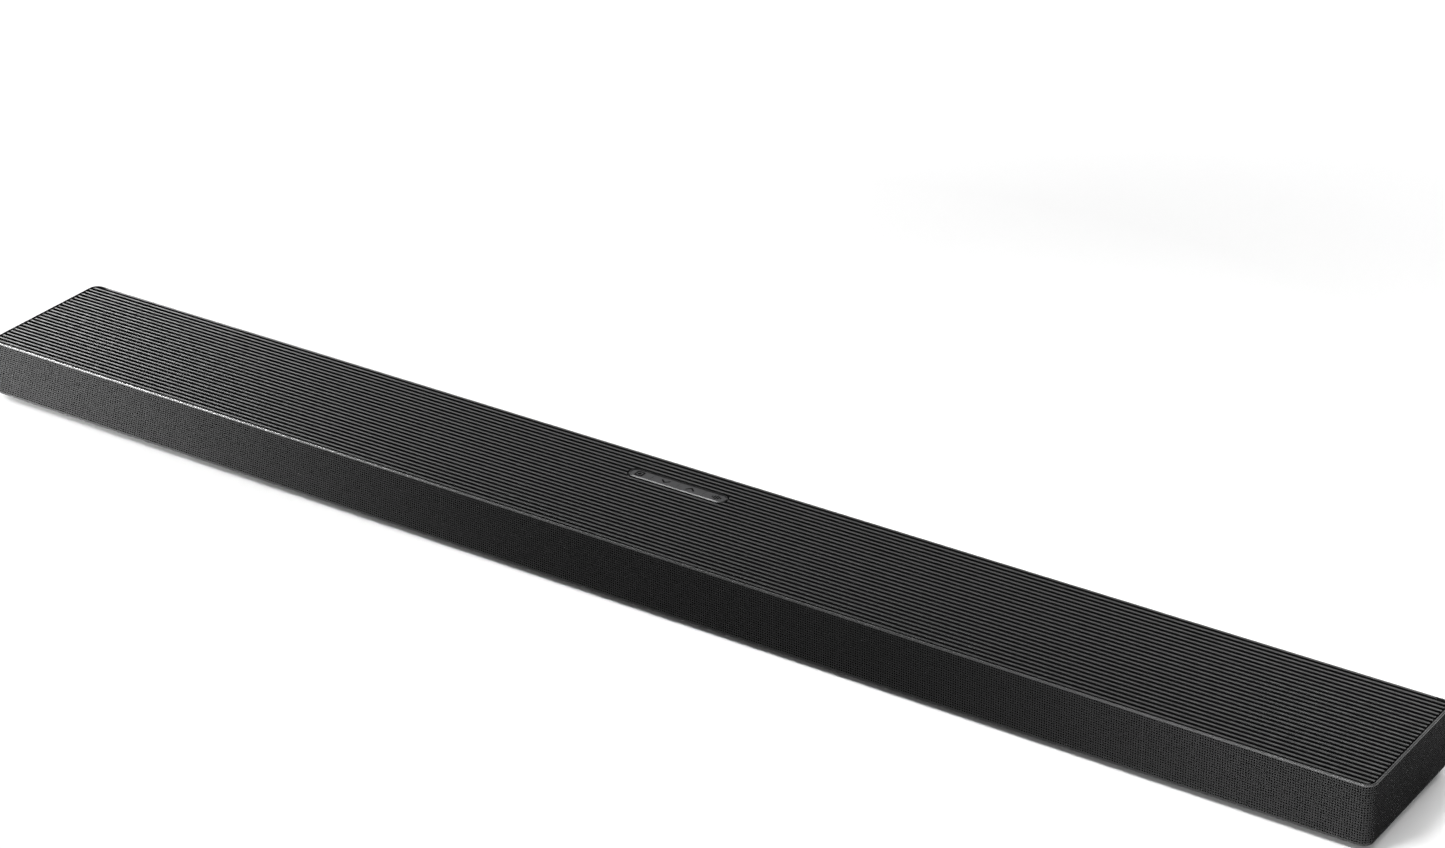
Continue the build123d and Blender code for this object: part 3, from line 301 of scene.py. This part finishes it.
class WrapPath:
    """The grille's outer line in plan, from one rear return round the front to the other."""

    def __init__(self):
        half_x, half_y, r = BAR_HIGH.x, BAR_HIGH.y, CORNER_R
        inner_x, inner_y = half_x - r, half_y - r
        quarter = r * math.pi / 2
        # each stretch: length, start point, heading in degrees, turns left by a quarter or not
        self.stretches = [
            (REAR_RETURN - r, (-half_x + REAR_RETURN, half_y), 180.0, False),
            (quarter, (-inner_x, half_y), 180.0, True),
            (2 * inner_y, (-half_x, inner_y), 270.0, False),
            (quarter, (-half_x, -inner_y), 270.0, True),
            (2 * inner_x, (-inner_x, -half_y), 0.0, False),
            (quarter, (inner_x, -half_y), 0.0, True),
            (2 * inner_y, (half_x, -inner_y), 90.0, False),
            (quarter, (half_x, inner_y), 90.0, True),
            (REAR_RETURN - r, (inner_x, half_y), 180.0, False),
        ]
        self.length = sum(stretch[0] for stretch in self.stretches)

    def at(self, distance):
        """Points on the line and their outward normals, as two arrays, for an array of distances."""
        distance = np.asarray(distance, float)
        points = np.zeros((*distance.shape, 2))
        normals = np.zeros((*distance.shape, 2))
        begin = 0.0
        last = len(self.stretches) - 1
        for index, (length, start, heading, turns) in enumerate(self.stretches):
            inside = distance >= begin - SAME_PLACE
            if index < last:
                inside &= distance < begin + length - SAME_PLACE
            along = distance[inside] - begin
            angle = math.radians(heading)
            if turns:
                angles = angle + along / CORNER_R
                centre = np.array(start) + CORNER_R * np.array((-math.sin(angle), math.cos(angle)))
                normal = np.stack((np.sin(angles), -np.cos(angles)), -1)
                points[inside] = centre + CORNER_R * normal
            else:
                normal = np.tile((math.sin(angle), -math.cos(angle)), (len(along), 1))
                ahead = np.array((math.cos(angle), math.sin(angle)))
                points[inside] = np.array(start) + along[:, None] * ahead
            normals[inside] = normal
            begin += length
        return points, normals

    def stations(self, first, last):
        """Distances that follow the straights in one step and the corners in short ones."""
        marks = [first, last]
        begin = 0.0
        for length, _, _, turns in self.stretches:
            steps = ARC_STEPS if turns else 1
            marks += [begin + length * k / steps for k in range(steps + 1)]
            begin += length
        inside = sorted(m for m in marks if first - SAME_PLACE <= m <= last + SAME_PLACE)
        return np.array([m for k, m in enumerate(inside) if k == 0 or m - inside[k - 1] > REPEATED_STATION])


PATH = WrapPath()


def sweep_profile(profile, stations):
    """Sweep a closed profile of (depth inwards, height) round the path; returns vertices and quads."""
    points, normals = PATH.at(stations)
    profile = np.asarray(profile, float)
    plan = points[:, None, :] - normals[:, None, :] * profile[None, :, :1]
    heights = np.broadcast_to(profile[None, :, 1:], (len(stations), len(profile), 1))
    vertices = np.concatenate((plan, heights), -1).reshape(-1, 3)
    size = len(profile)
    faces = []
    for i in range(len(stations) - 1):
        for j in range(size):
            k = (j + 1) % size
            faces.append((i * size + j, (i + 1) * size + j, (i + 1) * size + k, i * size + k))
    return vertices, faces, size


def fan_cap(ring, flip):
    """Quads that close a ring with an even number of points, strip by strip."""
    faces = []
    count = len(ring)
    for k in range(count // 2 - 1):
        a, b = ring[k], ring[k + 1]
        c, d = ring[count - 2 - k], ring[count - 1 - k]
        quad = (a, b, c, d)
        faces.append(quad[::-1] if flip else quad)
    return faces


# =====================================================================================
# Grille
# =====================================================================================

FIELD_TOP = BAR_HIGH.z - FIRST_ROW_DROP + HOLE_PITCH / 2
FIELD_BOTTOM = FIELD_TOP - HOLE_ROWS * HOLE_PITCH
COLUMNS = int((PATH.length - END_MARGINS) / HOLE_PITCH)
FIELD_START = (PATH.length - COLUMNS * HOLE_PITCH) / 2


def perforated_field(name, first_column, columns):
    """Part of the punched sheet: a closed plate with one eight-sided hole in each square of the lattice."""
    wide, high = 2 * columns + 1, 2 * HOLE_ROWS + 1
    lattice_s = FIELD_START + first_column * HOLE_PITCH + np.arange(wide) * HOLE_PITCH / 2
    lattice_z = FIELD_BOTTOM + np.arange(high) * HOLE_PITCH / 2
    s_grid, z_grid = np.meshgrid(lattice_s, lattice_z, indexing="ij")
    # eight points of each hole, in the order of its square's mid-sides and corners;
    # adding zero times the other grid spreads each over the whole lattice
    around = np.arange(8) * math.pi / 4
    centre_s = lattice_s[1::2][:, None, None]
    centre_z = lattice_z[1::2][None, :, None]
    hole_s = centre_s + HOLE_R * np.cos(around) + 0 * centre_z
    hole_z = centre_z + HOLE_R * np.sin(around) + 0 * centre_s
    all_s = np.concatenate((s_grid.ravel(), hole_s.ravel()))
    all_z = np.concatenate((z_grid.ravel(), hole_z.ravel()))
    points, normals = PATH.at(all_s)
    front = np.column_stack((points, all_z))
    back = np.column_stack((points - normals * SHEET_T, all_z))
    total = len(front)

    # lattice indices of the eight neighbours of each cell centre
    ci, cj = np.meshgrid(np.arange(columns) * 2 + 1, np.arange(HOLE_ROWS) * 2 + 1, indexing="ij")
    steps = [(1, 0), (1, 1), (0, 1), (-1, 1), (-1, 0), (-1, -1), (0, -1), (1, -1)]
    outer = np.stack([(ci + di) * high + (cj + dj) for di, dj in steps], -1).reshape(-1, 8)
    inner = wide * high + np.arange(columns * HOLE_ROWS * 8).reshape(-1, 8)
    outer_next, inner_next = np.roll(outer, -1, 1), np.roll(inner, -1, 1)
    front_faces = np.stack((outer, outer_next, inner_next, inner), -1).reshape(-1, 4)
    back_faces = front_faces[:, ::-1] + total
    hole_walls = np.stack((inner, inner_next, inner_next + total, inner + total), -1).reshape(-1, 4)

    # outside edge of the plate
    bottom = np.arange(wide) * high
    right = (wide - 1) * high + np.arange(high)
    top = bottom[::-1] + high - 1
    left = np.arange(high)[::-1]
    rim = np.concatenate((bottom, right[1:], top[1:], left[1:-1]))
    rim_next = np.roll(rim, -1)
    edge_walls = np.stack((rim_next, rim, rim + total, rim_next + total), -1)
    faces = np.concatenate((front_faces, back_faces, hole_walls, edge_walls))
    vertices = np.concatenate((front, back))

    # no face uses the lattice point at the middle of a hole, so those are dropped
    used = np.unique(faces)
    renumber = np.full(len(vertices), -1)
    renumber[used] = np.arange(len(used))
    piece = make_mesh(name, vertices[used], renumber[faces], "grille_metal")
    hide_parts("grille")
    return piece


def swept_piece(name, sweeps, slot):
    """One grille piece made of closed profiles, each swept between two distances along the path."""
    vertices, faces = [], []
    for profile, first, last in sweeps:
        start = sum(len(v) for v in vertices)
        got, quads, size = sweep_profile(profile, PATH.stations(first, last))
        end = len(got) - size
        quads += fan_cap(list(range(size)), False)
        quads += fan_cap(list(range(end, end + size)), True)
        vertices.append(got)
        faces.append(np.array(quads) + start)
    piece = make_mesh(name, np.concatenate(vertices), np.concatenate(faces), slot)
    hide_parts("grille")


def grille_borders():
    """Folded top rim, plain bottom hem and the two plain rear ends of the grille."""
    top, bottom = BAR_HIGH.z, BAR_LOW.z
    fold = [(FOLD_R * (1 - math.sin(a)), top - FOLD_R * (1 - math.cos(a)))
            for a in (math.radians(90 - 90 / FOLD_STEPS * k) for k in range(FOLD_STEPS + 1))]
    inner_fold = [(LIP_W - LIP_CHAMFER, top), (LIP_W, top - LIP_CHAMFER)]
    rim_profile = [(0.0, FIELD_TOP)] + fold + inner_fold + [(LIP_W, top - LIP_H), (SHEET_T, top - LIP_H),
                                                            (SHEET_T, FIELD_TOP)]
    hem = HEM_CHAMFER
    hem_profile = [(hem, bottom), (0.0, bottom + hem), (0.0, FIELD_BOTTOM), (SHEET_T, FIELD_BOTTOM),
                   (SHEET_T, bottom + hem), (SHEET_T - hem, bottom)]
    strip = [(0.0, FIELD_BOTTOM), (0.0, FIELD_TOP), (SHEET_T, FIELD_TOP), (SHEET_T, FIELD_BOTTOM)]
    swept_piece("grille_rim", [(rim_profile, 0.0, PATH.length)], "grille_edge")
    swept_piece("grille_hem", [(hem_profile, 0.0, PATH.length), (strip, 0.0, FIELD_START),
                               (strip, PATH.length - FIELD_START, PATH.length)], "grille_metal")


grille_borders()
splits = [round(COLUMNS * k / FIELD_PARTS) for k in range(FIELD_PARTS + 1)]
for part, (first, last) in enumerate(zip(splits[:-1], splits[1:])):
    perforated_field(f"grille_field_{part + 1}", first, last - first)


# =====================================================================================
# Key symbols: thin raised marks, each swept between a left and a right line of points
# =====================================================================================

MARK_SINK = 0.02 * MM
MARK_RISE = 0.06 * MM
MARK_STROKE = 1.2 * MM
CHEVRON_SLANT = 0.7  # half the upright width of a chevron's stroke, in strokes
BAR_CLIP = 0.6  # clipped corner of a bar, in half widths
SYMBOL_PITCH = 22.0 * MM
SYMBOL_HALF = 3.3 * MM
OUTER_R = 1.2 * MM
INNER_R = 0.6 * MM
DOT_HALF = 1.4 * MM
CHEVRON_W = 6.8 * MM
CHEVRON_H = 3.0 * MM
VOICE_BARS = (0.9, 2.2, 3.2, 2.2, 0.9)  # half heights, millimetres
VOICE_PITCH = 1.7 * MM
KEYS = ("key_source", "key_volume_down", "key_volume_up", "key_voice")
SYMBOL_X = {node: (k - 1.5) * SYMBOL_PITCH for k, node in enumerate(KEYS)}


def mark(lines, closed=False):
    """A flat closed solid between two lines of points, as vertices and quads; z is 0 to 1."""
    left, right = np.asarray(lines[0], float), np.asarray(lines[1], float)
    count = len(left)
    vertices = np.zeros((count, 4, 3))
    vertices[:, (0, 3), :2] = left[:, None]
    vertices[:, (1, 2), :2] = right[:, None]
    vertices[:, 2:, 2] = 1.0
    faces = []
    for i in range(count if closed else count - 1):
        here, there = i * 4, (i + 1) % count * 4
        faces += [(here + j, there + j, there + (j + 1) % 4, here + (j + 1) % 4) for j in range(4)]
    if not closed:
        end = (count - 1) * 4
        faces += [(0, 1, 2, 3), (end + 3, end + 2, end + 1, end)]
    return vertices.reshape(-1, 3), np.array(faces)


def rounded_square(half, r):
    """Points round a square with rounded corners, anticlockwise."""
    points = []
    for corner in range(4):
        middle = math.radians(45 + 90 * corner)
        centre = (half - r) * math.sqrt(2) * np.array((math.cos(middle), math.sin(middle)))
        for step in range(5):
            angle = middle + math.radians(-45 + 22.5 * step)
            points.append(centre + r * np.array((math.cos(angle), math.sin(angle))))
    return np.array(points)


def chevron(width, height, point_up):
    """A V-shaped stroke; its left and right lines."""
    sign = 1.0 if point_up else -1.0
    rise = sign * height / 2
    middle = np.array([(-width / 2, -rise), (0.0, rise), (width / 2, -rise)])
    shift = np.array((0.0, MARK_STROKE * CHEVRON_SLANT))
    return middle + shift, middle - shift


def bar(x, half_height, half_width=0.5 * MM):
    """An upright stroke with clipped corners."""
    clip = half_width * BAR_CLIP
    xs = np.array((-half_width, -half_width + clip, half_width - clip, half_width)) + x
    ys = np.array((half_height - clip, half_height, half_height, half_height - clip))
    return np.column_stack((xs, ys)), np.column_stack((xs, -ys))


def key_symbol(name, marks, node, body):
    """A symbol that stands just proud of a key, at its place in the row."""
    low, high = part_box(node)
    offset = SYMBOL_X[node]
    middle_y = (low.y + high.y) / 2
    vertices, faces = [], []
    for part_vertices, part_faces in marks:
        faces.append(part_faces + sum(len(v) for v in vertices))
        heights = high.z - MARK_SINK + part_vertices[:, 2] * (MARK_SINK + MARK_RISE)
        across, along = part_vertices[:, 0] + offset, part_vertices[:, 1] + middle_y
        vertices.append(np.column_stack((across, along, heights)))
    make_mesh(name, np.concatenate(vertices), np.concatenate(faces), "icon_ink", body)


outline = rounded_square(SYMBOL_HALF, OUTER_R)
inset = rounded_square(SYMBOL_HALF - MARK_STROKE, INNER_R)
key_symbol("source_symbol", [mark((inset, outline), closed=True), mark(bar(0.0, DOT_HALF, DOT_HALF))],
           "key_source", "key_source_body")
key_symbol("volume_down_symbol", [mark(chevron(CHEVRON_W, CHEVRON_H, False))],
           "key_volume_down", "key_volume_down_body")
key_symbol("volume_up_symbol", [mark(chevron(CHEVRON_W, CHEVRON_H, True))],
           "key_volume_up", "key_volume_up_body")
voice_marks = [mark(bar((k - 2) * VOICE_PITCH, half * MM)) for k, half in enumerate(VOICE_BARS)]
key_symbol("voice_symbol", voice_marks, "key_voice", "key_voice_body")


# =====================================================================================
# Stage, lights and camera
# =====================================================================================


FLOOR_REACH = 12.0
GLOW_FROM, GLOW_TO = 0.7, 2.0  # metres from the middle of the part
GLOW_STRENGTH = 0.6
CLIP_NEAR, CLIP_FAR = 0.05, 60.0


def build_stage():
    """A flat pale floor under the part."""
    mesh = bpy.data.meshes.new("floor")
    corners = [(x * FLOOR_REACH, y * FLOOR_REACH, 0) for x, y in ((-1, -1), (1, -1), (1, 1), (-1, 1))]
    mesh.from_pydata(corners, [], [(0, 1, 2, 3)])
    material, tree, shader, coordinate = new_material("floor_paint")
    shader.inputs["Base Color"].default_value = (0.86, 0.86, 0.86, 1)
    shader.inputs["Roughness"].default_value = 0.9
    # the floor is lit from within away from the part, so that it stays evenly pale all round
    shader.inputs["Emission Color"].default_value = (1, 1, 1, 1)
    distance = tree.nodes.new("ShaderNodeVectorMath")
    distance.operation = "LENGTH"
    tree.links.new(coordinate, distance.inputs[0])
    glow = tree.nodes.new("ShaderNodeMapRange")
    glow.inputs["From Min"].default_value = GLOW_FROM
    glow.inputs["From Max"].default_value = GLOW_TO
    glow.inputs["To Max"].default_value = GLOW_STRENGTH
    tree.links.new(distance.outputs["Value"], glow.inputs["Value"])
    tree.links.new(glow.outputs["Result"], shader.inputs["Emission Strength"])
    mesh.materials.append(material)
    floor = bpy.data.objects.new("floor", mesh)
    bpy.context.scene.collection.objects.link(floor)


HORIZON_STRENGTH = 0.85
SKY_STRENGTH = 0.22
HORIZON_TOP, SKY_FROM = 0.15, 0.35  # upward part of the direction where the fade starts and ends
# name, position, aimed at, width and height, power, spread in degrees
LAMPS = [
    ("overhead", (0.5, -0.9, 2.6), (0.1, -0.3, 0.0), (3.0, 2.4), 44, 180),
    ("back_left", (-4.4, 3.0, 2.05), (0.0, 0.0, 0.0), (1.6, 1.3), 105, 180),
    ("back_middle", (-2.2, 3.0, 2.05), (0.0, 0.0, 0.0), (2.0, 1.3), 16, 180),
    ("back_right", (-0.3, 3.0, 2.05), (0.0, 0.0, 0.0), (1.4, 1.3), 30, 180),
    ("front_left", (-1.25, -0.95, 0.028), (-0.66, -0.06, 0.028), (0.5, 0.04), 8.0, 30),
    ("front_right", (0.62, -0.9, 0.028), (0.62, -0.06, 0.028), (0.4, 0.04), 1.15, 30),
    ("rim_left", (-1.7, -1.2, 1.6), (-0.66, -0.06, 0.05), (0.6, 0.5), 0.6, 30),
    ("rim_middle", (-1.2, -1.2, 1.9), (0.1, -0.02, 0.05), (0.6, 0.5), 1.6, 30),
    ("rim_right", (-0.3, -1.35, 2.0), (0.5, -0.05, 0.05), (0.6, 0.5), 1.2, 30),
]


def area_light(name, at, target, size, power, spread):
    """A soft rectangular lamp that faces a point and is itself out of sight."""
    data = bpy.data.lights.new(name, "AREA")
    data.shape = "RECTANGLE"
    data.size, data.size_y = size
    data.energy = power
    data.spread = math.radians(spread)
    lamp = bpy.data.objects.new(name, data)
    lamp.location = at
    lamp.rotation_mode = "QUATERNION"
    lamp.rotation_quaternion = (Vector(target) - Vector(at)).to_track_quat("-Z", "Y")
    lamp.visible_camera = False
    bpy.context.scene.collection.objects.link(lamp)


def build_lights():
    """Surroundings that are pale near the horizon and dim above, with soft lamps overhead and all round."""
    world = bpy.data.worlds.new("studio")
    world.use_nodes = True
    tree = world.node_tree
    background = tree.nodes["Background"]
    background.inputs["Color"].default_value = (1, 1, 1, 1)
    direction = tree.nodes.new("ShaderNodeTexCoord").outputs["Generated"]
    split = tree.nodes.new("ShaderNodeSeparateXYZ")
    fade = tree.nodes.new("ShaderNodeMapRange")
    fade.inputs["From Min"].default_value = HORIZON_TOP
    fade.inputs["From Max"].default_value = SKY_FROM
    fade.inputs["To Min"].default_value = HORIZON_STRENGTH
    fade.inputs["To Max"].default_value = SKY_STRENGTH
    tree.links.new(direction, split.inputs["Vector"])
    tree.links.new(split.outputs["Z"], fade.inputs["Value"])
    tree.links.new(fade.outputs["Result"], background.inputs["Strength"])
    bpy.context.scene.world = world
    for lamp in LAMPS:
        area_light(*lamp)


def build_camera():
    """The camera at the viewing angle, with its small roll."""
    data = bpy.data.cameras.new("camera")
    data.lens = CAMERA_LENS
    data.clip_start, data.clip_end = CLIP_NEAR, CLIP_FAR
    camera = bpy.data.objects.new("camera", data)
    azimuth, elevation = math.radians(CAMERA_AZIMUTH), math.radians(CAMERA_ELEVATION)
    level = math.cos(elevation)
    back = Vector((math.sin(azimuth) * level, -math.cos(azimuth) * level, math.sin(elevation)))
    camera.location = CAMERA_AT
    camera.rotation_mode = "QUATERNION"
    roll = Quaternion((0, 0, 1), -math.radians(CAMERA_ROLL))
    camera.rotation_quaternion = (-back).to_track_quat("-Z", "Y") @ roll
    bpy.context.scene.collection.objects.link(camera)
    bpy.context.scene.camera = camera


build_stage()
build_lights()
build_camera()
bpy.context.scene.view_settings.view_transform = "Standard"
